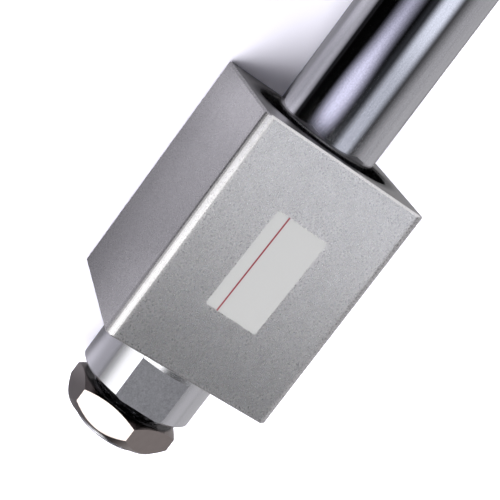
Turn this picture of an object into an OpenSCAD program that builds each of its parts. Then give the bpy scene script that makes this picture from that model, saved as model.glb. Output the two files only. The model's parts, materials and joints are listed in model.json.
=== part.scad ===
// Magnetically coupled rodless air cylinder.
//
// +X runs along the tube and +Z points out of the slider's plain top face. The
// origin is on the tube's axis, half way between the two head covers. The slider
// stands at the low end of its stroke, beside the left head cover.
//
// Inside the sealed tube a piston carries a stack of ring magnets. The slider
// carries a second stack round the tube, and the two stacks pull each other along.

/* [Travel] */
// Distance that the slider can travel
stroke = 200; // [50:50:500]
// Gap between the slider and a head cover at the end of the travel
end_gap = 2; // [1.5:0.5:4]

/* [Slider] */
// Length of the slider along the tube
slider_len = 80; // [70:2:120]
// Width and height of the slider
slider_w = 60; // [56:1:80]
// Radius of the slider's four long edges
edge_r = 3.5; // [1:0.5:5]
// Chamfer round the slider's two ends
end_break = 0.7; // [0.3:0.1:1.2]
// Bore right through the slider
slider_bore_d = 47.5; // [46.5:0.5:49]
// Distance between the load holes, along the tube
load_pitch_x = 50; // [30:1:56]
// Distance between the load holes, across the tube
load_pitch_z = 40; // [36:1:44]
// Tapping drill of the load holes
load_hole_d = 5; // [4:0.1:5.5]
// Depth of the load holes
load_hole_depth = 8; // [5:0.5:9]

/* [Tube] */
// Outer diameter of the tube
tube_d = 35; // [34.8:0.1:35.2]
// Inner diameter of the tube
tube_bore_d = 32; // [31.9:0.1:32.2]

/* [Head covers] */
// Length of a cover from its inner rim to the shoulder that the nose stands on
cover_len = 18; // [17:0.5:24]
// Outer diameter of a cover
cover_d = 40; // [39:0.5:44]
// Distance across the two wrench flats of a cover
flats_w = 36.2; // [35.8:0.1:37]
// Full-diameter rim left between a cover's inner end and its flats
rim_len = 2.6; // [2:0.2:4]
// Angle by which the covers are turned round the tube from the slider's faces
cover_turn = 7; // [-30:1:30]
// Tapping drill of the air port in each cover
port_d = 8.56; // [8:0.02:9]
// Distance from a cover's shoulder to the middle of its air port
port_setback = 8; // [7.6:0.1:9]

/* [Noses and nuts] */
// Length of the threaded nose on each cover
nose_len = 16; // [15:1:24]
// Outer diameter of the nose thread
nose_d = 26; // [24:0.5:28]
// Distance across the flats of a mounting nut
nut_af = 34.4; // [33:0.2:38]
// Thickness of a mounting nut
nut_len = 10; // [7:0.5:10]
// Space between a cover's shoulder and its mounting nut
nut_gap = 3.4; // [0.5:0.1:4]

/* [Magnet stacks] */
// Length of one pole yoke
yoke_len = 4; // [3:0.25:4]
// Length of one ring magnet
magnet_len = 6; // [5:0.25:6]
// Outer diameter of the shaft that carries the inner stack
shaft_d = 10; // [8:0.5:12]

/* [Hidden] */
$fn = 96;
eps = 0.01;

// Clearances, each measured on the radius
seat_gap = 0.05;       // a piece seated in another for good
running_gap = 0.07;    // a guide or a seal on the tube
free_gap = 0.6;        // pieces that pass each other without touching

// Radii that the diameters above give
tube_r = tube_d / 2;
tube_bore_r = tube_bore_d / 2;
slider_bore_r = slider_bore_d / 2;
cover_r = cover_d / 2;
nose_r = nose_d / 2;
shaft_r = shaft_d / 2;
thread_end_r = shaft_r - 1;

// Places along the tube, counted from its middle
slider_x = -stroke / 2;
cover_rim = stroke / 2 + slider_len / 2 + end_gap;
tube_seat_depth = 3;
tube_end = cover_rim + tube_seat_depth;
shoulder = cover_rim + cover_len;
nose_end = shoulder + nose_len;
spigot_end = cover_rim - 9;
port_x = shoulder - port_setback;

// Places in the slider and the piston, counted from their middle
yoke_count = 5;
magnet_count = 4;
pole_pitch = yoke_len + magnet_len;
stack_half = (yoke_count * yoke_len + magnet_count * magnet_len) / 2;
holder_len = 9;
holder_end = stack_half + holder_len;
snap_len = 1.2;
snap_groove_r = slider_bore_r + 1.05;

// Bumper and piston: the piston stops just short of the bumper
bumper_proud = 0.7;
bumper_len = 3.9;
bumper_r = tube_bore_r - 0.6;
bumper_seat_r = 11.5;
piston_stop_gap = 0.4;
piston_end = spigot_end - bumper_proud - piston_stop_gap - stroke / 2;

// Grooves: first and last place along the tube, and the radius of the floor
gasket_groove = [cover_rim - 4, cover_rim - 1, 13.7];
wire_groove = [cover_rim + 0.85, cover_rim + 2.15, tube_r + 0.9];
wire_groove_in_tube_r = tube_r - 0.4;
guide_groove = [stack_half + 1.5, stack_half + 5.5, tube_r + 2];
scraper_groove = [stack_half + 6.4, stack_half + 8.4, tube_r + 2.9];
piston_guide_groove = [stack_half + 1.2, stack_half + 4.2, tube_bore_r - 1.8];
piston_seal_groove = [piston_end - 4.3, piston_end - 1.3, tube_bore_r - 3.1];

// Head cover
spigot_r = tube_bore_r - seat_gap;
cover_break = 0.8;
nose_break = 1;
relief_len = 2;
relief_r = nose_r - 0.8;
passage_r = 4;
port_depth = 10;
port_drill_r = 3;
spot_face_r = 7;
spot_face_y = 18.7;

// Piston
piston_r = tube_bore_r - 0.3;
piston_nut_pocket_r = 9;
piston_nut_af = 13;
piston_nut_len = 4;
piston_web_end = piston_end - 4.9;

// The two ends of the cylinder are mirror images
left = -1;
right = 1;

// ---------------------------------------------------------------- helpers

// Turns an outline of [place along the tube, radius] points round the tube's axis
module revolve(outline) {
    rotate([0, 90, 0])
        rotate_extrude()
            polygon([for (point = outline) [point[1], point[0]]]);
}

// A round bar along the tube
module bar(from, to, r) {
    translate([from, 0, 0])
        rotate([0, 90, 0])
            cylinder(h = to - from, r = r);
}

// A ring along the tube
module ring(from, to, inner_r, outer_r) {
    revolve([[from, inner_r], [from, outer_r], [to, outer_r], [to, inner_r]]);
}

// A ring with its edges broken, so that it slides into its seat
module eased_ring(from, to, inner_r, outer_r, ease) {
    revolve([
        [from, inner_r], [from, outer_r - ease], [from + ease, outer_r],
        [to - ease, outer_r], [to, outer_r - ease], [to, inner_r],
    ]);
}

// A ring of round wire
module wire_ring(x, mid_r, wire_r) {
    translate([x, 0, 0])
        rotate([0, 90, 0])
            rotate_extrude()
                translate([mid_r, 0])
                    circle(r = wire_r, $fn = 32);
}

// A slot through one side of a ring, on the side that faces down
module slit(from, to, width, reach) {
    translate([from, -width / 2, -reach])
        cube([to - from, width, reach]);
}

// A hexagonal bar along the tube, with a corner pointing up
module hex_bar(from, to, across_flats) {
    translate([from, 0, 0])
        rotate([0, 90, 0])
            cylinder(h = to - from, r = across_flats / sqrt(3), $fn = 6);
}

// Builds a piece for the right-hand end, or its mirror image for the left
module at_end(side) {
    mirror([side == left ? 1 : 0, 0, 0])
        children();
}

// The same for a piece of the slider or the piston
module at_slider_end(side) {
    translate([slider_x, 0, 0])
        at_end(side)
            children();
}

// ---------------------------------------------------------------- tube

module cylinder_tube() {
    bore_break = 0.4;
    color("silver")
        revolve([
            [-tube_end, tube_bore_r + bore_break], [-tube_end, tube_r],
            [-wire_groove[1], tube_r], [-wire_groove[1], wire_groove_in_tube_r],
            [-wire_groove[0], wire_groove_in_tube_r], [-wire_groove[0], tube_r],
            [wire_groove[0], tube_r], [wire_groove[0], wire_groove_in_tube_r],
            [wire_groove[1], wire_groove_in_tube_r], [wire_groove[1], tube_r],
            [tube_end, tube_r], [tube_end, tube_bore_r + bore_break],
            [tube_end - bore_break, tube_bore_r], [-tube_end + bore_break, tube_bore_r],
        ]);
}

// ---------------------------------------------------------------- head covers

// The cover as it comes off the lathe, with the slot that the tube's end sits in
module cover_turning() {
    seat_r = tube_r + seat_gap;
    rim_break = 0.4;
    revolve([
        [spigot_end, 0], [spigot_end, bumper_seat_r],
        [spigot_end + bumper_len - bumper_proud + 0.1, bumper_seat_r],
        [spigot_end + bumper_len - bumper_proud + 0.1, spigot_r],
        [gasket_groove[0], spigot_r], [gasket_groove[0], gasket_groove[2]],
        [gasket_groove[1], gasket_groove[2]], [gasket_groove[1], spigot_r],
        [tube_end, spigot_r], [tube_end, seat_r],
        [wire_groove[1], seat_r], [wire_groove[1], wire_groove[2]],
        [wire_groove[0], wire_groove[2]], [wire_groove[0], seat_r],
        [cover_rim, seat_r], [cover_rim, cover_r - rim_break],
        [cover_rim + rim_break, cover_r], [shoulder - cover_break, cover_r],
        [shoulder, cover_r - cover_break], [shoulder, relief_r],
        [shoulder + relief_len, relief_r],
        [shoulder + relief_len + nose_r - relief_r, nose_r],
        [nose_end - nose_break, nose_r], [nose_end, nose_r - nose_break],
        [nose_end, 0],
    ]);
}

// One wrench flat, cut on the side that faces up
module wrench_flat() {
    translate([cover_rim + rim_len, -cover_r, flats_w / 2])
        cube([cover_len + relief_len, cover_d, cover_r]);
}

// The air's way in: spot face, tapped port, drilled link and the passage to the bore
module air_way() {
    translate([port_x, -cover_r - 1, 0])
        rotate([-90, 0, 0]) {
            cylinder(h = cover_r + 1 - spot_face_y, r = spot_face_r);
            cylinder(h = cover_r + 1 - spot_face_y + port_depth, r = port_d / 2);
            cylinder(h = cover_r + 1, r = port_drill_r);
        }
    bar(spigot_end - 1, port_x + passage_r, passage_r);
}

module head_cover(side) {
    color("gainsboro")
        at_end(side)
            rotate([-cover_turn, 0, 0])
                difference() {
                    cover_turning();
                    wrench_flat();
                    mirror([0, 0, 1]) wrench_flat();
                    air_way();
                }
}

// Hexagon nut, lightly broken towards the cover and turned back further outside
module mounting_nut(side) {
    from = shoulder + nut_gap;
    to = from + nut_len;
    corner_r = nut_af / sqrt(3) + 0.1;
    face_r = nut_af / 2 - 0.6;
    inner_slope = tan(30);
    outer_slope = tan(49);
    bore_r = nose_r + seat_gap;
    bore_break = 0.6;
    color("dimgray")
        at_end(side)
            intersection() {
                hex_bar(from, to, nut_af);
                revolve([
                    [from, bore_r + bore_break], [from, face_r],
                    [from + (corner_r - face_r) * inner_slope, corner_r],
                    [to - (corner_r - face_r) * outer_slope, corner_r],
                    [to, face_r], [to, bore_r + bore_break],
                    [to - bore_break, bore_r], [from + bore_break, bore_r],
                ]);
            }
}

module tube_gasket(side) {
    wire_r = (tube_bore_r - gasket_groove[2]) / 2 - 0.03;
    color("black")
        at_end(side)
            wire_ring(
                (gasket_groove[0] + gasket_groove[1]) / 2,
                (tube_bore_r + gasket_groove[2]) / 2,
                wire_r
            );
}

// Split spring-wire ring that locks the cover on the tube
module cover_wire(side) {
    wire_r = 0.6;
    mid_x = (wire_groove[0] + wire_groove[1]) / 2;
    color("darkgray")
        at_end(side)
            difference() {
                wire_ring(mid_x, tube_r + 0.25, wire_r);
                slit(mid_x - 1, mid_x + 1, 2, cover_r);
            }
}

module bumper(side) {
    from = spigot_end - bumper_proud;
    color("darkslategray")
        at_end(side)
            eased_ring(from, from + bumper_len, bumper_seat_r + seat_gap, bumper_r, 0.5);
}

// ---------------------------------------------------------------- slider

// Points of a square with round corners
function rounded_square(w, r, steps = 8) = [
    for (corner = [0 : 3])
        let (sx = [1, -1, -1, 1][corner], sy = [1, 1, -1, -1][corner])
            for (step = [0 : steps])
                let (a = 90 * (corner + step / steps))
                    [sx * (w / 2 - r) + r * cos(a), sy * (w / 2 - r) + r * sin(a)],
];

// The slider's side view with its four corners cut off, as a plate across the tube
module broken_plate() {
    half = slider_len / 2;
    side = slider_w / 2;
    cut = end_break;
    linear_extrude(height = slider_w + 2, center = true)
        polygon([
            [-half, cut - side], [cut - half, -side], [half - cut, -side],
            [half, cut - side], [half, side - cut], [half - cut, side],
            [cut - half, side], [-half, side - cut],
        ]);
}

// Squared bar with round long edges and all the edges of its ends broken
module slider_bar() {
    half = slider_len / 2;
    corner_r = (slider_w / 2 - edge_r) * sqrt(2) + edge_r + 0.2;
    intersection() {
        rotate([90, 0, 90])
            linear_extrude(height = slider_len, center = true)
                polygon(rounded_square(slider_w, edge_r));
        broken_plate();
        rotate([90, 0, 0]) broken_plate();
        revolve([
            [-half, 0], [-half, corner_r - end_break], [end_break - half, corner_r],
            [half - end_break, corner_r], [half, corner_r - end_break], [half, 0],
        ]);
    }
}

// Through bore with a snap-ring groove near each end and a broken mouth
module slider_bore() {
    half = slider_len / 2;
    mouth = 0.5;
    bar(-half - 1, half + 1, slider_bore_r);
    for (side = [left, right])
        at_end(side) {
            bar(holder_end, holder_end + snap_len + 0.1, snap_groove_r);
            revolve([
                [half - mouth, 0], [half - mouth, slider_bore_r],
                [half + eps, slider_bore_r + mouth + eps], [half + eps, 0],
            ]);
        }
}

// One tapped load hole, drilled into the face that looks towards -Y
module load_hole() {
    hole_r = load_hole_d / 2;
    mouth = 0.5;
    translate([0, -slider_w / 2, 0])
        rotate([-90, 0, 0]) {
            translate([0, 0, -1])
                cylinder(h = load_hole_depth + 1, r = hole_r);
            translate([0, 0, load_hole_depth])
                cylinder(h = hole_r * tan(31), r1 = hole_r, r2 = 0);
            translate([0, 0, -eps])
                cylinder(h = mouth + eps, r1 = hole_r + mouth + eps, r2 = hole_r);
        }
}

module slider_block() {
    color("lightgray")
        translate([slider_x, 0, 0])
            difference() {
                slider_bar();
                slider_bore();
                for (x = [-load_pitch_x / 2, load_pitch_x / 2])
                    for (z = [-load_pitch_z / 2, load_pitch_z / 2])
                        translate([x, 0, z]) load_hole();
            }
}

// Place of the middle of a yoke or a magnet in its stack
function yoke_x(number) = (number - (yoke_count + 1) / 2) * pole_pitch;
function magnet_x(number) = (number - (magnet_count + 1) / 2) * pole_pitch;

module outer_yoke(number) {
    x = slider_x + yoke_x(number);
    color("dimgray")
        ring(x - yoke_len / 2, x + yoke_len / 2, tube_r + free_gap, slider_bore_r - seat_gap);
}

module outer_magnet(number) {
    x = slider_x + magnet_x(number);
    color("slategray")
        eased_ring(
            x - magnet_len / 2, x + magnet_len / 2,
            tube_r + free_gap + 0.2, slider_bore_r - 0.25, 0.4
        );
}

// Carries the wear ring and the scraper, and closes the magnet stack
module bearing_holder(side) {
    bore_r = tube_r + 0.5;
    mouth_r = tube_r + 1.1;
    color("gray")
        at_slider_end(side)
            revolve([
                [stack_half, bore_r], [stack_half, slider_bore_r - seat_gap],
                [holder_end, slider_bore_r - seat_gap], [holder_end, mouth_r],
                [scraper_groove[1], mouth_r], [scraper_groove[1], scraper_groove[2]],
                [scraper_groove[0], scraper_groove[2]], [scraper_groove[0], bore_r],
                [guide_groove[1], bore_r], [guide_groove[1], guide_groove[2]],
                [guide_groove[0], guide_groove[2]], [guide_groove[0], bore_r],
            ]);
}

// Snap ring for a bore, with an eyelet on each side of its gap
module snap_ring(side) {
    gap_w = 4;
    eyelet_r = 2.2;
    eyelet_hole_r = 0.9;
    eyelet_mid_r = slider_bore_r - 3;
    eyelet_turn = 12;
    color("darkslategray")
        at_slider_end(side)
            difference() {
                union() {
                    ring(holder_end, holder_end + snap_len, slider_bore_r - 2.2, snap_groove_r - 0.1);
                    for (turn = [-eyelet_turn, eyelet_turn])
                        rotate([turn, 0, 0]) translate([0, 0, -eyelet_mid_r])
                            bar(holder_end, holder_end + snap_len, eyelet_r);
                }
                slit(holder_end - 1, holder_end + snap_len + 1, gap_w, slider_bore_r + 2);
                for (turn = [-eyelet_turn, eyelet_turn])
                    rotate([turn, 0, 0]) translate([0, 0, -eyelet_mid_r])
                        bar(holder_end - 1, holder_end + snap_len + 1, eyelet_hole_r);
            }
}

// Split guide band that runs on the tube
module slider_wear_ring(side) {
    color("tan")
        at_slider_end(side)
            difference() {
                ring(
                    guide_groove[0] + 0.1, guide_groove[1] - 0.1,
                    tube_r + running_gap, guide_groove[2] - running_gap
                );
                slit(guide_groove[0], guide_groove[1], 0.8, slider_bore_r);
            }
}

// Wiper whose lip leans out of the holder's mouth and keeps dust off the guides
module scraper(side) {
    lip_r = tube_r + running_gap;
    heel_r = scraper_groove[2] - 0.1;
    from = scraper_groove[0] + 0.1;
    to = scraper_groove[1] - 0.1;
    color("black")
        at_slider_end(side)
            revolve([
                [from, tube_r + 0.6], [from, heel_r], [to, heel_r],
                [to, tube_r + 0.85], [to + 1.1, tube_r + 0.3], [to + 1.1, lip_r],
                [to - 0.1, lip_r], [to - 0.9, tube_r + 0.6],
            ]);
}

// ---------------------------------------------------------------- piston

module piston_shaft() {
    shoulder_x = stack_half;
    tip_x = piston_end - 0.7;
    tip_break = 0.6;
    color("silver")
        translate([slider_x, 0, 0])
            revolve([
                [-tip_x, 0], [-tip_x, thread_end_r - tip_break],
                [tip_break - tip_x, thread_end_r], [-shoulder_x, thread_end_r],
                [-shoulder_x, shaft_r], [shoulder_x, shaft_r],
                [shoulder_x, thread_end_r], [tip_x - tip_break, thread_end_r],
                [tip_x, thread_end_r - tip_break], [tip_x, 0],
            ]);
}

module inner_yoke(number) {
    x = slider_x + yoke_x(number);
    color("dimgray")
        ring(x - yoke_len / 2, x + yoke_len / 2, shaft_r + seat_gap, piston_r);
}

module inner_magnet(number) {
    x = slider_x + magnet_x(number);
    color("slategray")
        eased_ring(
            x - magnet_len / 2, x + magnet_len / 2,
            shaft_r + 0.2, piston_r - 0.2, 0.3
        );
}

module piston(side) {
    bore_r = thread_end_r + seat_gap;
    face_break = 0.4;
    color("lightsteelblue")
        at_slider_end(side)
            revolve([
                [stack_half, bore_r], [stack_half, piston_r],
                [piston_guide_groove[0], piston_r],
                [piston_guide_groove[0], piston_guide_groove[2]],
                [piston_guide_groove[1], piston_guide_groove[2]],
                [piston_guide_groove[1], piston_r],
                [piston_seal_groove[0], piston_r],
                [piston_seal_groove[0], piston_seal_groove[2]],
                [piston_seal_groove[1], piston_seal_groove[2]],
                [piston_seal_groove[1], piston_r],
                [piston_end - face_break, piston_r], [piston_end, piston_r - face_break],
                [piston_end, piston_nut_pocket_r], [piston_web_end, piston_nut_pocket_r],
                [piston_web_end, bore_r],
            ]);
}

// Split guide band that runs in the tube's bore
module piston_wear_ring(side) {
    from = piston_guide_groove[0];
    to = piston_guide_groove[1];
    color("tan")
        at_slider_end(side)
            difference() {
                ring(from + 0.05, to - 0.05, piston_guide_groove[2] + seat_gap, tube_bore_r - running_gap);
                slit(from, to, 0.8, tube_bore_r);
            }
}

// Lip seal that opens towards the air pressure on its side
module piston_seal(side) {
    from = piston_seal_groove[0] + 0.1;
    to = piston_seal_groove[1] - 0.1;
    floor_r = piston_seal_groove[2] + seat_gap;
    lip_r = tube_bore_r - running_gap;
    mouth_x = to - 1.3;
    color("black")
        at_slider_end(side)
            revolve([
                [from, floor_r], [to, floor_r], [to, floor_r + 0.5],
                [mouth_x, (floor_r + lip_r) / 2], [to, lip_r - 0.3],
                [to - 0.3, lip_r], [to - 0.9, lip_r], [from, lip_r - 0.5],
            ]);
}

module piston_nut(side) {
    from = piston_web_end;
    to = from + piston_nut_len;
    color("darkgray")
        at_slider_end(side)
            difference() {
                hex_bar(from, to, piston_nut_af);
                bar(from - 1, to + 1, thread_end_r + seat_gap);
            }
}

// ---------------------------------------------------------------- nodes

cylinder_tube();
head_cover(left);  // head_cover_left
head_cover(right);  // head_cover_right
mounting_nut(left);  // mounting_nut_left
mounting_nut(right);  // mounting_nut_right
tube_gasket(left);  // tube_gasket_left
tube_gasket(right);  // tube_gasket_right
cover_wire(left);  // cover_wire_left
cover_wire(right);  // cover_wire_right
bumper(left);  // bumper_left
bumper(right);  // bumper_right

slider_wear_ring(left);  // slider_wear_ring_left
slider_wear_ring(right);  // slider_wear_ring_right
scraper(left);  // scraper_left
scraper(right);  // scraper_right

slider_block();
outer_yoke(1);  // outer_yoke_1
outer_yoke(2);  // outer_yoke_2
outer_yoke(3);  // outer_yoke_3
outer_yoke(4);  // outer_yoke_4
outer_yoke(5);  // outer_yoke_5
outer_magnet(1);  // outer_magnet_1
outer_magnet(2);  // outer_magnet_2
outer_magnet(3);  // outer_magnet_3
outer_magnet(4);  // outer_magnet_4
bearing_holder(left);  // bearing_holder_left
bearing_holder(right);  // bearing_holder_right
snap_ring(left);  // snap_ring_left
snap_ring(right);  // snap_ring_right

piston_shaft();
inner_yoke(1);  // inner_yoke_1
inner_yoke(2);  // inner_yoke_2
inner_yoke(3);  // inner_yoke_3
inner_yoke(4);  // inner_yoke_4
inner_yoke(5);  // inner_yoke_5
inner_magnet(1);  // inner_magnet_1
inner_magnet(2);  // inner_magnet_2
inner_magnet(3);  // inner_magnet_3
inner_magnet(4);  // inner_magnet_4
piston(left);  // piston_left
piston(right);  // piston_right
piston_wear_ring(left);  // piston_wear_ring_left
piston_wear_ring(right);  // piston_wear_ring_right
piston_seal(left);  // piston_seal_left
piston_seal(right);  // piston_seal_right
piston_nut(left);  // piston_nut_left
piston_nut(right);  // piston_nut_right
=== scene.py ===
# %% [markdown]
# # A rodless air cylinder, dressed in Blender
#
# The object is a polished tube with a turned head cover and a big hexagon nut at each end,
# and a square slider that runs along the tube. A magnet stack on the piston inside pulls a
# second stack in the slider, so nothing has to pass through the tube's wall.
#
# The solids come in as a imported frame: every piece already has its real size and place. This
# script gives each piece its finish, cuts the threads that a plain solid leaves out, sticks
# the label on, and sets up a small studio. It never moves or reshapes a solid of the frame.
#
# The order is: measures, camera, room, floor and lamps, then one cell for each finish, then
# the threads and the label.

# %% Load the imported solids
import json
import math

import bmesh
import bpy
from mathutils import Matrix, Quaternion, Vector


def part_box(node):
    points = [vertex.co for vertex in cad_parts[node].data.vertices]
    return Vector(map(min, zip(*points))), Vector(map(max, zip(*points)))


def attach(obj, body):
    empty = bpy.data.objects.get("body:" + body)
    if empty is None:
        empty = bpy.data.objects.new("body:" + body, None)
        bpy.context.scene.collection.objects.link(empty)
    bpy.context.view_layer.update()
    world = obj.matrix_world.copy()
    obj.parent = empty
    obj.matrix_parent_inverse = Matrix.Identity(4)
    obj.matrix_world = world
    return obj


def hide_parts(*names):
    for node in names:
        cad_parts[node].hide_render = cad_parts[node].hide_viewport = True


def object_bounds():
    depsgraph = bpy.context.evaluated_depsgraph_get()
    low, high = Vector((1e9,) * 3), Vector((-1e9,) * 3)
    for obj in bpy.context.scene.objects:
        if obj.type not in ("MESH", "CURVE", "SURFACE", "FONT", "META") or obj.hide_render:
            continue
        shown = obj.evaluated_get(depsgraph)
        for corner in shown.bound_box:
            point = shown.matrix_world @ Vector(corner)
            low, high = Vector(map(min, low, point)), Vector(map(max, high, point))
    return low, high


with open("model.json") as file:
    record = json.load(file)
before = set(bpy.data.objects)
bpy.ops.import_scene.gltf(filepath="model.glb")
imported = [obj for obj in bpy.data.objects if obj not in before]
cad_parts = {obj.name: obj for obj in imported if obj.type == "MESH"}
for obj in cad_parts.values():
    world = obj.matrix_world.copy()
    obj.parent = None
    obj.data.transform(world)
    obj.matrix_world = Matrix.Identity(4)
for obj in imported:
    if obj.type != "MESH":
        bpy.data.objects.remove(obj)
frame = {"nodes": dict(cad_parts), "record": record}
cad_low, cad_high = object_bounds()
MM = 0.001
overall = [round(v / MM, 1) for v in cad_high - cad_low]
print(len(frame["nodes"]), "solids, overall size in mm:", overall)

# %% [markdown]
# ## Measures taken from the solids
#
# The pieces' places come from the solids' own boxes and from the record's mounts, so the
# label, the threads and the floor follow a longer stroke or slider. The tube's axis is the X
# axis, and +Z points out of the slider's plain top face.

# %% Find the slider, the nuts and the floor
slider_low, slider_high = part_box("slider_block")
slider_middle = (slider_low + slider_high) / 2
nut_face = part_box("mounting_nut_right")[0].x
floor_z = cad_low.z
print("slider centre in mm:", [round(v / MM, 2) for v in slider_middle])
print("the nuts start at, in mm from the middle:", round(nut_face / MM, 2))

# %% [markdown]
# ## The camera
#
# A long lens near the slider keeps its edges almost parallel and still lets the far end of
# the tube run out of the frame. The camera is placed by four plain steps: a point to aim at
# on the slider's top face, a direction to step back in, a distance, and a roll about the
# line of sight.

# %% Set up the camera
AIM = Vector((3.95, 9.10, 30.0)) * MM
DISTANCE = 440.5 * MM
COMPASS = math.radians(63.0)
RISE = math.radians(65.69)
ROLL = math.radians(151.76)

camera = bpy.data.objects.new("camera", bpy.data.cameras.new("camera"))
bpy.context.scene.collection.objects.link(camera)
bpy.context.scene.camera = camera
back = Vector((math.cos(COMPASS) * math.cos(RISE), math.sin(COMPASS) * math.cos(RISE), math.sin(RISE)))
camera.location = slider_middle + AIM + back * DISTANCE
camera.rotation_mode = "QUATERNION"
camera.rotation_quaternion = (-back).to_track_quat("-Z", "Y") @ Quaternion((0, 0, 1), ROLL)
camera.data.lens = 109.31
camera.data.clip_start = 0.01
bpy.context.scene.view_settings.view_transform = "Standard"
print("the camera stands at, in mm:", [round(v / MM) for v in camera.location])

# %% [markdown]
# ## Shader sums written as Python
#
# A finish is easier to read as a formula than as a list of nodes. `Wire` holds one output of
# a node, and Python's own signs on it add Math nodes. `Graph` holds a node tree and makes any
# other node: its settings first, then the values or wires of its sockets.

# %% Wires and graphs
class Wire:
    """One output of a node, which Python's signs can do sums with."""

    def __init__(self, graph, socket):
        self.graph = graph
        self.socket = socket

    def output(self, name):
        """Another output of the same node."""
        return Wire(self.graph, self.socket.node.outputs[name])

    def __add__(self, other):
        return self.graph.maths("ADD", self, other)

    def __radd__(self, other):
        return self.graph.maths("ADD", other, self)

    def __sub__(self, other):
        return self.graph.maths("SUBTRACT", self, other)

    def __rsub__(self, other):
        return self.graph.maths("SUBTRACT", other, self)

    def __mul__(self, other):
        return self.graph.maths("MULTIPLY", self, other)

    def __rmul__(self, other):
        return self.graph.maths("MULTIPLY", other, self)

    def __abs__(self):
        return self.graph.maths("ABSOLUTE", self)


class Graph:
    """The node tree of a material or the world, emptied and ready to be filled."""

    def __init__(self, owner):
        owner.use_nodes = True
        self.tree = owner.node_tree
        self.tree.nodes.clear()

    def node(self, kind, settings, sockets, output=0):
        """Makes a node, fills in its settings and then its sockets, and gives one output."""
        made = self.tree.nodes.new(kind)
        for name, value in settings.items():
            setattr(made, name, value)
        for name, value in sockets.items():
            if isinstance(value, Wire):
                self.tree.links.new(value.socket, made.inputs[name])
            else:
                made.inputs[name].default_value = value
        return Wire(self, made.outputs[output]) if made.outputs else None

    def maths(self, operation, *values):
        return self.node("ShaderNodeMath", {"operation": operation}, dict(enumerate(values)))

    def reach(self, one, other):
        """How far off a place is, from its two distances along square directions."""
        return self.maths("SQRT", one * one + other * other)

    def fade(self, value, start, end):
        """0 at start and 1 at end, with a soft step between; start may be above end."""
        sockets = {"Value": value, "From Min": start, "From Max": end}
        return self.node("ShaderNodeMapRange", {"interpolation_type": "SMOOTHSTEP"}, sockets)

    def blend(self, factor, first, second):
        """One colour going over into another."""
        sockets = {0: factor, 6: first, 7: second}
        return self.node("ShaderNodeMix", {"data_type": "RGBA"}, sockets, 2)

    def tint(self, colour, amount):
        """A colour made lighter or darker by a number that varies."""
        return self.node("ShaderNodeVectorMath", {"operation": "SCALE"}, {0: colour, "Scale": amount})

    def pool(self, *colours):
        """Colours of light added together."""
        total = colours[0]
        for colour in colours[1:]:
            total = self.node("ShaderNodeVectorMath", {"operation": "ADD"}, {0: total, 1: colour})
        return total

    def split(self, vector):
        first = self.node("ShaderNodeSeparateXYZ", {}, {"Vector": vector}, "X")
        return first, first.output("Y"), first.output("Z")

    def join(self, x, y, z):
        return self.node("ShaderNodeCombineXYZ", {}, {"X": x, "Y": y, "Z": z})

    def noise(self, place, scale, detail=2.0):
        return self.node("ShaderNodeTexNoise", {}, {"Vector": place, "Scale": scale, "Detail": detail})


def rgb(red, green, blue):
    return (red, green, blue, 1.0)


# %% [markdown]
# ## The studio as bare metal sees it
#
# Polished metal has hardly a colour of its own: what it shows is the room. So the room is
# painted first, as long panels of light that run beside the tube, with dark gaps between
# them. A direction is told by its angle round the tube's axis, 0 degrees towards +Y and 90
# degrees straight up, and by `along`, how far it leans towards +X.

# %% Tell the room's directions apart
ROOM_DARK = 0.001
SOFT_LIGHT = 0.04

world = bpy.data.worlds.new("room")
bpy.context.scene.world = world
room = Graph(world)
ray = room.node("ShaderNodeTexCoord", {}, {}, "Generated")
along, across, upward = room.split(ray)
turn = room.maths("ARCTAN2", upward, across) * (180 / math.pi)
angle = room.maths("MODULO", turn + 360, 360.0)


def panel(middle, half, soft, colour, level):
    """A band of light round one angle, with soft edges, as bright as level says."""
    distance = abs(angle - middle) - half
    return room.tint(colour, room.fade(distance, soft * 0.5, soft * -0.5) * level)


print("the room starts with", len(room.tree.nodes), "nodes")

# %% [markdown]
# ## How bright each panel is along the axis
#
# The camera stands above the tube, a little past the slider's open end, and looks down. So
# every part of the object mirrors a reach of the room of its own: `along` is about -0.1 to 0
# for the tube, -0.27 to -0.11 for the slider, and -0.31 to -0.28 for the head cover. Each
# level below is a row of soft steps along that scale. `tube_run` is 1 on the tube's reach
# and parts it from the slider's.
#
# - `over_tube` and `over_slider` hang overhead, and the second grows towards the tube
# - `strip_level` is the narrow strip of bluish light that runs down the tube
# - `window_level` and `edge_level` fill the slider's long round edge and the cover's flank
# - `side_level` lights the slider's near side, and `wall_level` all that faces away
# - `hot_level` is a small fierce lamp that only one face of the nut can mirror
# - `glint_level` closes the room's +X end, and the slider's end edges glint with it

# %% Set the levels
towards_nut = room.fade(along, -0.20, -0.30)
tube_run = room.fade(along, -0.130, -0.117)

over_tube = (0.7 + 0.5 * room.fade(along, -0.05, 0.01)) * tube_run
over_slider = 0.07 + 1.25 * room.fade(along, -0.2, -0.125) + 5.4 * room.fade(along, -0.149, -0.13)
over_slider = over_slider * (1 - tube_run)

strip_level = 1.17 * room.fade(along, -0.101, -0.086) * (1 - 0.5 * room.fade(along, -0.06, 0.02))
strip_half = 14 + 3 * room.fade(abs(along + 0.07), 0.04, 0.0) - 2.5 * room.fade(along, -0.06, -0.02)

window_level = (1.55 + 1.2 * room.fade(along, -0.2, -0.135)) * (1 - tube_run)
window_half = 44 - 14 * towards_nut
edge_level = 2.1 * room.fade(along, -0.275, -0.245) * (1 - tube_run)

side_level = (0.8 - 0.38 * towards_nut) * room.fade(along, -0.145, -0.16)
wall_level = 0.5 + 0.13 * towards_nut
hot_level = 6.8 * room.fade(along, -0.298, -0.306) * room.fade(along, -0.34, -0.33)
glint_level = 0.8 * room.fade(along, 0.7, 0.85)
print("levels set in", len(room.tree.nodes), "nodes")

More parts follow.
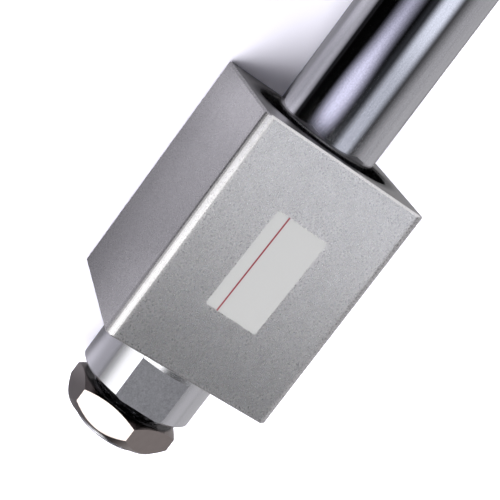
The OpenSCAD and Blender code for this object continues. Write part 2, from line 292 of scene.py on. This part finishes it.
# %% [markdown]
# ## The panels themselves
#
# Each panel is told by its middle angle, half its width, the width of its soft edges, all in
# degrees, then its colour and level. Two reaches stay nearly dark: `near_end`, which the
# slider's open end mirrors, and `far_end`, the room's -X end. Rays that light matt surfaces
# get an even dim glow instead of the panels, and to the camera itself the room is plain
# white.

# %% Hang the panels
white = (1.0, 1.0, 1.01)
near_end = room.fade(abs(along - 0.27), 0.235, 0.195)
far_end = room.fade(abs(along + 0.85), 0.25, 0.15)
glow = room.pool(
    panel(113, 15.5, 19, (0.95, 0.99, 1.12), over_tube),
    panel(123, 22, 14, (0.995, 0.995, 1.02), over_slider),
    panel(50.5, strip_half, 30, (0.95, 0.94, 1.19), strip_level),
    panel(56 - 6 * towards_nut, window_half, 14 + 10 * towards_nut, white, window_level),
    panel(82, 7, 12, white, edge_level),
    panel(87, 6, 14, (0.9, 0.95, 1.1), 0.04 * tube_run),
    panel(50, 9, 10, (0.96, 1.0, 1.0), hot_level),
    panel(2, 22, 24, (1.0, 1.0, 1.02), side_level),
    panel(196 - 4 * towards_nut, 48, 44, (1.0, 0.99, 1.03), wall_level),
    room.tint(white, glint_level),
    (ROOM_DARK, ROOM_DARK, ROOM_DARK),
)
glow = room.tint(glow, 1 - 0.9 * near_end - 0.97 * far_end)
to_matt = room.node("ShaderNodeLightPath", {}, {}, "Is Diffuse Ray")
to_camera = to_matt.output("Is Camera Ray")
mirrored = room.node("ShaderNodeBackground", {}, {"Color": glow})
ambient = room.node("ShaderNodeBackground", {}, {"Color": rgb(1, 1, 1), "Strength": SOFT_LIGHT})
plain = room.node("ShaderNodeBackground", {}, {"Color": rgb(1, 1, 1)})
lit = room.node("ShaderNodeMixShader", {}, {0: to_matt, 1: mirrored, 2: ambient})
sky = room.node("ShaderNodeMixShader", {}, {0: to_camera, 1: lit, 2: plain})
room.node("ShaderNodeOutputWorld", {}, {"Surface": sky})
print("room painted with", len(room.tree.nodes), "nodes")

# %% [markdown]
# ## The card as metal mirrors it
#
# The object lies on a pale sweep of card. Metal mirrors it as a mid grey that dies away where
# the studio is dark, so this colour changes over the card, and painted shadows lie in it.
# `near_level` is the side towards +Y, which the slider's near side and the tube's left flank
# mirror: it has a painted shadow under the nut, and painted shade close along the slider's
# foot, again further out, and just past the slider's open end. It is lighter towards +X and
# swells beside the slider. `far_level` is the other side, towards -Y, with a painted shadow
# under the tube. Beyond the lamps' reach the card gives off a light of its own, about as
# strong as theirs, so no dark line is mirrored at the horizon.

# %% Colour the card for mirror rays
card = bpy.data.materials.new("card")
card_graph = Graph(card)
place = card_graph.node("ShaderNodeTexCoord", {}, {}, "Object")
place_x, place_y, place_z = card_graph.split(place)
near_side = card_graph.fade(place_y, 0.0, 0.02)
by_cover = card_graph.fade(place_x, -0.158, -0.175)

# Painted shade beside the slider: darker close to its foot and again further out.
beside = 0.72 + 0.33 * card_graph.fade(place_y, 0.030, 0.046)
beside = beside - 0.22 * card_graph.fade(place_y, 0.055, 0.085)
# Painted light and shade along the axis: lighter towards +X and by the cover, with painted shade just
# past the slider's open end.
lengthwise = 0.6 + 0.42 * card_graph.fade(place_x, -0.15, -0.055) + 0.16 * by_cover
lengthwise = lengthwise + 0.2 * card_graph.fade(place_x, -0.088, -0.068)
lengthwise = lengthwise - 0.3 * card_graph.fade(place_x, -0.067, -0.058)
# Painted shadow under the nut.
nut_shadow_paint = 1 - 0.45 * card_graph.fade(place_x, -0.17, -0.18) * card_graph.fade(place_y, 0.05, 0.035)
by_slider = 0.02 + 0.98 * card_graph.fade(place_y, 0.28, 0.04)
by_cover_only = 0.8 * by_cover * card_graph.fade(place_y, 0.9, 0.6)
outward = card_graph.maths("MAXIMUM", by_slider, by_cover_only)
near_level = 0.5 * near_side * outward * beside * lengthwise * nut_shadow_paint

# Painted shadow under the tube, on the far side.
tube_shadow_paint = card_graph.fade(place_x, -0.052, -0.042) * card_graph.fade(place_y, -0.07, -0.045)
far_level = 0.27 - 0.01 * by_cover - 0.1 * tube_shadow_paint
past_nut = card_graph.fade(place_x, -0.5, -0.3)
skyline = card_graph.fade(place_y, -0.5, -0.9)
far_level = far_level * (1 - near_side) * card_graph.maths("MAXIMUM", past_nut, skyline)
colour = card_graph.pool(
    card_graph.tint((1.0, 0.99, 1.02), far_level),
    card_graph.tint((0.98, 0.962, 1.06), near_level),
)
far_off = card_graph.fade(card_graph.reach(place_x, place_y), 0.25, 0.6)
lit_card = card_graph.node("ShaderNodeBsdfDiffuse", {}, {"Color": colour})
own_light = card_graph.node("ShaderNodeEmission", {}, {"Color": colour, "Strength": 1.9})
mirrored = card_graph.node("ShaderNodeMixShader", {}, {0: far_off, 1: lit_card, 2: own_light})
print("card coloured with", len(card_graph.tree.nodes), "nodes")

# %% [markdown]
# ## The card as the camera sees it
#
# To the camera the card is so bright that it goes to pure white, and only the shadow keeps a
# soft grey. Far off it goes over into plain white light, which hides the horizon. Light Path
# tells the two kinds of ray apart, so one sheet serves both.

# %% Lay the floor
FLOOR_REACH = 3.0
floor_mesh = bpy.data.meshes.new("floor")
signs = ((-1, -1), (1, -1), (1, 1), (-1, 1))
corners = [(sx * FLOOR_REACH, sy * FLOOR_REACH, floor_z) for sx, sy in signs]
floor_mesh.from_pydata(corners, [], [(0, 1, 2, 3)])
floor = bpy.data.objects.new("floor", floor_mesh)
bpy.context.scene.collection.objects.link(floor)

shaded = card_graph.node("ShaderNodeBsdfDiffuse", {}, {"Color": rgb(1.0, 0.98, 1.1)})
glowing = card_graph.node("ShaderNodeEmission", {}, {"Color": rgb(1, 1, 1), "Strength": 1.0})
pictured = card_graph.node("ShaderNodeMixShader", {}, {0: 0.02 + 0.98 * far_off, 1: shaded, 2: glowing})
to_camera = card_graph.node("ShaderNodeLightPath", {}, {}, "Is Camera Ray")
card_surface = card_graph.node("ShaderNodeMixShader", {}, {0: to_camera, 1: mirrored, 2: pictured})
card_graph.node("ShaderNodeOutputMaterial", {}, {"Surface": card_surface})
floor_mesh.materials.append(card)
print("floor laid at, in mm:", round(floor_z / MM, 1))

# %% [markdown]
# ## The lamps
#
# Two softboxes light the card and everything that isn't metal. The nearer one throws the
# soft shadow beside the tube, and the other stands behind the slider. They are hidden from
# mirror rays, because the painted panels already stand for what the metal sees. Their power
# is worked out from the light that should arrive, so that white card comes out white.

# %% Hang the lamps
def softbox(name, direction, distance, size, arriving, colour):
    """A square lamp that looks at the slider and lights it to the level that arriving says."""
    lamp = bpy.data.lights.new(name, "AREA")
    lamp.size = size
    lamp.energy = arriving * math.pi**2 * distance**2
    lamp.color = colour
    stand = bpy.data.objects.new(name, lamp)
    bpy.context.scene.collection.objects.link(stand)
    way = Vector(direction).normalized()
    stand.location = slider_middle + way * distance
    stand.rotation_mode = "QUATERNION"
    stand.rotation_quaternion = (-way).to_track_quat("-Z", "Y")
    stand.visible_glossy = False
    stand.visible_camera = False
    return stand


softbox("near_softbox", (-0.31, 0.39, 0.87), 1.2, 0.6, 1.15, (1.0, 1.0, 1.0))
softbox("far_softbox", (-0.34, -0.6, 0.74), 1.2, 0.4, 1.35, (1.0, 1.0, 1.0))

# %% [markdown]
# ## Giving a finish to every piece of a slot
#
# The record gives each solid a material slot, such as the blasted aluminium of the slider.
# One function builds a Principled shader for a slot and hands it to all the solids that
# carry it. What varies over the surface feeds only colour, roughness and the bump, and every
# fixed value sits on the shader's own socket.

# %% A shelf of finishes
node_slots = {part["node"]: part["material_slot"] for part in frame["record"]["subparts"]}
finishes = {}


def new_finish(slot_name):
    """An empty graph for a slot's material, and the place on the object that it works with."""
    material = bpy.data.materials.new("finish_" + slot_name)
    finishes[slot_name] = material
    graph = Graph(material)
    return graph, graph.node("ShaderNodeTexCoord", {}, {}, "Object")


def coat(graph, sockets):
    """Closes a graph with a Principled shader."""
    shader = graph.node("ShaderNodeBsdfPrincipled", {}, sockets)
    graph.node("ShaderNodeOutputMaterial", {}, {"Surface": shader})


def relief(graph, height, distance, strength=1.0):
    """Fine relief: height is 0 to 1, and distance is what 1 stands for."""
    sockets = {"Height": height, "Distance": distance, "Strength": strength}
    return graph.node("ShaderNodeBump", {}, sockets)


# %% [markdown]
# ## Blasted aluminium
#
# The slider is a length of square aluminium bar. Its wide faces are blasted with fine glass
# beads and anodised clear, which leaves a close grey grain with a soft sheen. The grain is a
# noise about half a millimetre wide with its peaks pressed flat. It drives the bump, and a
# weaker copy drives the colour, because the pits hold a little shade. The two other long
# faces were only brushed, so their noise is drawn out along the bar. The sawn ends are a
# little duller. The bore and the rim of its mouth are darkened with painted shade, out to a
# few millimetres beyond the mouth.

# %% Finish: blasted aluminium
# Painted shade in the bore is full inside the first radius and gone beyond the second.
BORE_SHADE_FULL_RADIUS = 24.4 * MM
BORE_SHADE_END_RADIUS = 28.5 * MM

graph, place = new_finish("blasted_aluminium")
normal = graph.node("ShaderNodeTexCoord", {}, {}, "Normal")
normal_x, _, normal_z = graph.split(normal)
blasted = graph.fade(abs(normal_z), 0.7, 0.95)
sawn = graph.fade(abs(normal_x), 0.7, 0.95)
grain = graph.fade(graph.noise(place, 1 / (0.6 * MM), 1.0), 0.3, 0.7)
mottle = graph.noise(place, 1 / (4.5 * MM), 2.0)
place_x, place_y, place_z = graph.split(place)
# Painted shade: the bore and the rim round its mouth are darkened.
bore_shade_paint = graph.fade(graph.reach(place_y, place_z), BORE_SHADE_END_RADIUS, BORE_SHADE_FULL_RADIUS)
drawn = graph.noise(graph.join(place_x * 0.03, place_y, place_z), 1 / (0.5 * MM), 2.0)
speck = (grain - 0.5) * blasted * 0.26 + (drawn - 0.5) * (1 - blasted) * 0.1
shade = (1 + speck + (mottle - 0.5) * 0.16) * (1 - 0.7 * bore_shade_paint)
coat(graph, {
    "Base Color": graph.tint((0.634, 0.622, 0.62), shade),
    "Metallic": 1.0,
    "Roughness": 0.28 + (grain - 0.5) * 0.02 + 0.06 * sawn,
    "Normal": relief(graph, grain * blasted + drawn * (1 - blasted) * 0.15, 0.0022 * MM),
})

# %% [markdown]
# ## The polished tube
#
# The tube is stainless steel, ground and polished so that the seals run well on it. It works
# as a long mirror, only a little soft: the roughness wanders between 0.03 and 0.08. Faint
# polishing marks run lengthwise.

# %% Finish: polished tube
graph, place = new_finish("polished_tube")
place_x, place_y, place_z = graph.split(place)
marks = graph.noise(graph.join(place_x * 0.05, place_y, place_z), 1 / (0.35 * MM), 3.0)
cloud = graph.noise(place, 1 / (9 * MM), 2.0)
fine = graph.noise(place, 1 / (0.5 * MM), 2.0)
coat(graph, {
    "Base Color": graph.tint((0.63, 0.63, 0.655), 1 + (marks - 0.5) * 0.2 + (fine - 0.5) * 0.35),
    "Metallic": 1.0,
    "Roughness": 0.055 + (marks - 0.5) * 0.03 + (cloud - 0.5) * 0.03,
    "Normal": relief(graph, marks, 0.0012 * MM),
})

# %% [markdown]
# ## Turned pieces
#
# A lathe leaves fine rings round everything it cuts: along a cylinder they follow each other
# lengthwise, and on an end face they lie one inside the other. A noise that only knows the
# distance along the axis and the distance from it draws both kinds at once.

# %% Rings left by the lathe
def lathe_rings(graph, place, pitch):
    """A noise that is the same all round the axis."""
    x, y, z = graph.split(place)
    return graph.noise(graph.join(x, graph.reach(y, z), 0.0), 1 / pitch, 2.0)


# %% [markdown]
# ## Head covers
#
# The covers are turned from aluminium bar and anodised. Two wrench flats are milled across
# them and come out matt and a little mottled beside the bright turned skin. The record's air
# ports say how the covers are turned round the tube, and the flats stand square to the
# ports. The bare stretch of nose between shoulder and nut is darkened with painted shade
# for the shadow in the gap.

# %% Finish: head covers
mounts = {mount["name"]: mount for mount in frame["record"]["mounts"]}
port_way = Vector(mounts["port_left"]["axis"])
flat_way = Vector((1, 0, 0)).cross(port_way)
nose = mounts["nose_left"]
nose_r = nose["dims"]["r_mm"] * MM
FLAT_REACH = 18.1 * MM

graph, place = new_finish("cover_metal")
place_x, place_y, place_z = graph.split(place)
off_centre = abs(flat_way.y * place_y + flat_way.z * place_z)
milled = graph.fade(abs(off_centre - FLAT_REACH), 0.04 * MM, 0.01 * MM)
nose_gap_shade_paint = graph.fade(abs(place_x), nut_face + 1.2 * MM, nut_face + 0.4 * MM)
on_nose = graph.fade(graph.reach(place_y, place_z), nose_r + 0.4 * MM, nose_r + 0.1 * MM)
rings = lathe_rings(graph, place, 0.25 * MM)
grain = graph.noise(place, 1 / (0.45 * MM), 3.0)
shade = 1 + (rings - 0.5) * 0.06 * (1 - milled) + (grain - 0.5) * 0.9 * milled
# Painted shade: the bare nose in the gap next to the nut is darkened.
shade = shade * (1 - 0.62 * nose_gap_shade_paint * on_nose)
turned_skin = graph.tint((0.66, 0.66, 0.68), shade)
mottle = graph.noise(place, 1 / (1.5 * MM), 2.0)
milled_skin = graph.tint((0.405, 0.405, 0.428), shade * (1 + (mottle - 0.5) * 0.5))
coat(graph, {
    "Base Color": graph.blend(milled, turned_skin, milled_skin),
    "Metallic": 1.0,
    "Roughness": 0.2 + milled * 0.24 + (rings - 0.5) * 0.05,
    "Normal": relief(graph, rings * (1 - milled) * 0.15 + grain * milled, 0.02 * MM),
})
print("the covers' flats face", [round(v, 3) for v in flat_way])

# %% [markdown]
# ## Mounting nuts
#
# The two hexagon nuts are steel with a dark, bright nickel plating. They are close to a
# mirror, warm and smoky, with a faint cloud of fine grain. The face that looks at the cover
# is darkened with painted shade for the shadow in the gap.

# %% Finish: mounting nuts
graph, place = new_finish("nut_plating")
place_x, place_y, place_z = graph.split(place)
# Painted shade on the nut's face towards the cover, in the gap.
nut_gap_shade_paint = graph.fade(abs(place_x), nut_face + 0.4 * MM, nut_face + 0.05 * MM)
cloud = graph.noise(place, 1 / (2.5 * MM), 3.0)
fine = graph.noise(place, 1 / (0.3 * MM), 2.0)
shade = (1 + (cloud - 0.5) * 0.16) * (1 - 0.8 * nut_gap_shade_paint)
coat(graph, {
    "Base Color": graph.tint((0.262, 0.226, 0.212), shade),
    "Metallic": 1.0,
    "Roughness": 0.1 + (fine - 0.5) * 0.06,
    "Normal": relief(graph, cloud * 0.7 + fine * 0.3, 0.002 * MM),
})

# %% [markdown]
# ## The pieces inside
#
# The magnet stacks, the holders and the piston are turned or pressed parts, and they show
# when the model is opened. They share one recipe for bright metal with lathe rings, each
# with its own colour, roughness and ring width. Rubber and the guide bands are matt plastics
# with a fine moulded skin.

# %% Finishes of the inner pieces
def turned_metal(slot_name, colour, roughness, pitch, depth):
    graph, place = new_finish(slot_name)
    rings = lathe_rings(graph, place, pitch)
    cloud = graph.noise(place, 1 / (6 * MM), 2.0)
    coat(graph, {
        "Base Color": graph.tint(colour, 1 + (rings - 0.5) * 0.08 + (cloud - 0.5) * 0.1),
        "Metallic": 1.0,
        "Roughness": roughness + (rings - 0.5) * 0.08,
        "Normal": relief(graph, rings, depth),
    })


def moulded(slot_name, colour, roughness, grain_size, depth):
    graph, place = new_finish(slot_name)
    grain = graph.noise(place, 1 / grain_size, 3.0)
    cloud = graph.noise(place, 1 / (5 * MM), 2.0)
    coat(graph, {
        "Base Color": graph.tint(colour, 1 + (grain - 0.5) * 0.2 + (cloud - 0.5) * 0.15),
        "Roughness": roughness + (grain - 0.5) * 0.15,
        "Normal": relief(graph, grain, depth),
    })


turned_metal("yoke_steel", (0.42, 0.42, 0.43), 0.3, 0.3 * MM, 0.004 * MM)
turned_metal("magnet_plating", (0.55, 0.54, 0.52), 0.18, 0.8 * MM, 0.002 * MM)
turned_metal("spring_steel", (0.36, 0.36, 0.38), 0.25, 0.2 * MM, 0.002 * MM)
turned_metal("turned_aluminium", (0.66, 0.66, 0.67), 0.26, 0.25 * MM, 0.006 * MM)
moulded("guide_band", (0.075, 0.055, 0.04), 0.5, 0.3 * MM, 0.006 * MM)
moulded("seal_rubber", (0.022, 0.022, 0.024), 0.55, 0.2 * MM, 0.006 * MM)
print(len(finishes), "finishes on the shelf:", ", ".join(sorted(finishes)))

# %% [markdown]
# ## Handing the finishes out
#
# Every solid of the frame comes with one seat for a material. The record says which slot the
# solid belongs to, and the finish of that name is put in the seat.

# %% Dress every solid
for name, slot_name in node_slots.items():
    solid = frame["nodes"][name]
    for seat in solid.material_slots:
        seat.material = finishes[slot_name]
print("dressed", len(node_slots), "solids")

# %% [markdown]
# ## Threaded noses
#
# Each cover ends in a nose with a 26 mm thread of 1.5 mm pitch. One formula gives the nose's
# radius at a place along the axis and an angle round it. The ridge climbs by one pitch a
# turn, starts out of a relief groove at the shoulder, and is held under the cone that breaks
# the nose's end.

# %% The shape of the thread
PITCH = 1.5 * MM
RIDGE = 0.92 * MM
shoulder = abs(nose["pos_m"][0]) - nose["dims"]["length_mm"] / 2 * MM
nose_end = cad_high.x
RELIEF_LEN = 2.0 * MM
RELIEF_R = nose_r - 0.8 * MM
END_BREAK = 1.2 * MM


def thread_radius(x, a):
    """Radius of the nose at a place along the axis and an angle round it."""
    step = ((x - shoulder) / PITCH - a / (2 * math.pi)) % 1.0
    slope = abs(step - 0.5) * 2
    ridge = min(max((slope - 0.2) / 0.6, 0.0), 1.0)
    full = nose_r - RIDGE * (1 - ridge)
    run_out = min(max((x - shoulder - RELIEF_LEN) / (0.8 * MM), 0.0), 1.0)
    start = RELIEF_R + (full - RELIEF_R) * run_out
    return min(start, nose_r - END_BREAK + (nose_end - x))


# %% [markdown]
# ## Cutting the covers and growing the noses
#
# In the frame the nose is a plain cylinder, and a screw thread can't be added to it without
# cutting. So a copy of each cover is cut through at the relief groove, and a new nose is
# grown from the rim of the cut. The rim's own points set the columns, so the two meet without
# a seam and the whole cover is one closed skin. Going outward, each ring of points takes its
# radius from the formula above.

# %% Cut the covers and grow the noses
CUT_PLACE = shoulder + 1.0 * MM
ROWS_PER_PITCH = 14


def threaded_cover(node, side):
    """A copy of a head cover whose nose carries a real thread; side is -1 left, 1 right."""
    mesh = frame["nodes"][node].data
    shape = bmesh.new()
    shape.from_mesh(mesh)
    bmesh.ops.remove_doubles(shape, verts=shape.verts, dist=1e-6)
    everything = shape.verts[:] + shape.edges[:] + shape.faces[:]
    bmesh.ops.bisect_plane(
        shape, geom=everything, dist=1e-7, plane_co=(side * CUT_PLACE, 0, 0), plane_no=(side, 0, 0),
        clear_outer=True,
    )
    rim = [v for v in shape.verts if any(e.is_boundary for e in v.link_edges)]
    rim.sort(key=lambda v: math.atan2(v.co.z, v.co.y))
    angles = [math.atan2(v.co.z, v.co.y) for v in rim]
    rows = round((nose_end - CUT_PLACE) / PITCH * ROWS_PER_PITCH)
    ring = rim
    for row in range(1, rows + 1):
        x = CUT_PLACE + (nose_end - CUT_PLACE) * row / rows
        new_ring = []
        for a in angles:
            r = thread_radius(x, side * a)
            new_ring.append(shape.verts.new((side * x, r * math.cos(a), r * math.sin(a))))
        for k in range(len(angles)):
            following = (k + 1) % len(angles)
            shape.faces.new((ring[k], ring[following], new_ring[following], new_ring[k]))
        ring = new_ring
    shape.faces.new(ring)
    bmesh.ops.recalc_face_normals(shape, faces=shape.faces)
    open_edges = sum(not e.is_manifold for e in shape.edges)
    skin = bpy.data.meshes.new("threaded_" + node)
    shape.to_mesh(skin)
    shape.free()
    skin.attributes.remove(skin.attributes["custom_normal"])
    skin.shade_smooth()
    skin.set_sharp_from_angle(angle=math.radians(12))
    skin.materials.append(finishes["cover_metal"])
    cover = bpy.data.objects.new("threaded_" + node, skin)
    bpy.context.scene.collection.objects.link(cover)
    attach(cover, "barrel")
    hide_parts(node)
    print(cover.name, "has", len(skin.polygons), "faces and", len(angles), "columns")
    print("its open edges:", open_edges)
    return cover


threaded_cover("head_cover_left", -1)
threaded_cover("head_cover_right", 1)

# %% [markdown]
# ## The label
#
# A small label of silver-grey film is stuck on the slider's top face, a touch askew. It is a
# plate of film, five hundredths of a millimetre thick, with its corners rounded by the punch.

# %% Cut and stick the label
LABEL_LEN = 34.9 * MM
LABEL_WIDTH = 18.8 * MM
LABEL_THICK = 0.05 * MM
LABEL_CORNER = 0.35 * MM
LABEL_SHIFT = Vector((0.7, 0.5, 0)) * MM
LABEL_ASKEW = math.radians(-1.5)
RULE_PLACE = 5.1 * MM
RULE_WIDTH = 0.48 * MM


def rounded_outline(length, width, corner, steps=6):
    """Points of a rectangle with round corners, anticlockwise."""
    points = []
    for quarter, (sx, sy) in enumerate(((1, 1), (-1, 1), (-1, -1), (1, -1))):
        for step in range(steps + 1):
            a = math.pi / 2 * (quarter + step / steps)
            x = sx * (length / 2 - corner) + corner * math.cos(a)
            y = sy * (width / 2 - corner) + corner * math.sin(a)
            points.append((x, y))
    return points


outline = rounded_outline(LABEL_LEN, LABEL_WIDTH, LABEL_CORNER)
count = len(outline)
points = [(x, y, z) for z in (0.0, LABEL_THICK) for x, y in outline]
faces = [tuple(reversed(range(count))), tuple(range(count, 2 * count))]
faces += [(k, (k + 1) % count, (k + 1) % count + count, k + count) for k in range(count)]
label_mesh = bpy.data.meshes.new("label")
label_mesh.from_pydata(points, [], faces)
label = bpy.data.objects.new("label", label_mesh)
bpy.context.scene.collection.objects.link(label)
label.location = Vector((slider_middle.x, slider_middle.y, slider_high.z)) + LABEL_SHIFT
label.rotation_euler = (0, 0, LABEL_ASKEW)
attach(label, "slider")
print("label stuck at, in mm:", [round(v / MM, 2) for v in label.location])

# %% [markdown]
# ## The label's film
#
# The film has a dull silver face. A thin dark red rule is printed along it, so the rule
# belongs to the material. The rest of the label stays bare.

# %% Finish: label film
graph, place = new_finish("sticker_film")
place_x, place_y, place_z = graph.split(place)
rule = graph.fade(abs(place_y - RULE_PLACE), RULE_WIDTH / 2 + 0.06 * MM, RULE_WIDTH / 2 - 0.06 * MM)
grain = graph.noise(place, 1 / (0.6 * MM), 2.0)
film = graph.tint((0.47, 0.47, 0.466), 1 + (grain - 0.5) * 0.06)
coat(graph, {
    "Base Color": graph.blend(rule, film, rgb(0.22, 0.012, 0.03)),
    "Metallic": 0.5,
    "Roughness": 0.42 + (grain - 0.5) * 0.1,
    "Normal": relief(graph, grain, 0.002 * MM),
})
label_mesh.materials.append(finishes["sticker_film"])
print("rule printed", round(RULE_PLACE / MM, 1), "mm off the label's middle line")
